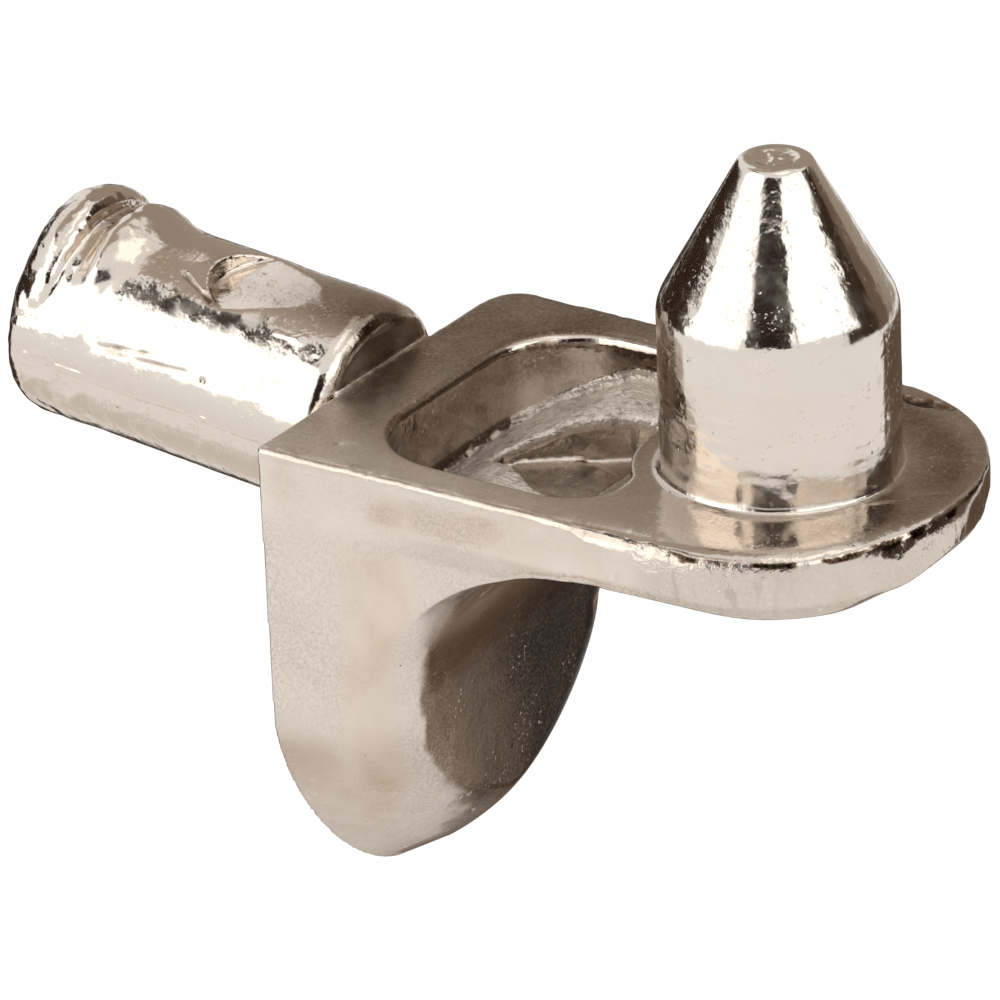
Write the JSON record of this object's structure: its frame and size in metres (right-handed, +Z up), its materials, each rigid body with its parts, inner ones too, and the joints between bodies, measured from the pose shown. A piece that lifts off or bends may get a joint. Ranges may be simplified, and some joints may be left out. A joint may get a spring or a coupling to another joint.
{
  "type": "shelf support pin",
  "caption": "Cast shelf support: a barbed dowel plugs into the cabinet side, and the shelf rests on a pocketed arm with a cone-tipped stud.",
  "frame": {"origin": "on the dowel's axis, in the plane of the wall that the leg's back face lies against", "axes": "+X out of the wall along the arm, +Y along the arm's width, +Z up; the dowel points along -X with its free end tilted 5.6 degrees up"},
  "size_m": [0.0224, 0.0094, 0.0183],
  "materials": {
    "nickel_plating": "bright nickel plate over an as-cast zinc surface with small pits and scratches"
  },
  "bodies": {
    "root": {"shelf_support": "nickel_plating"}
  },
  "joints": []
}
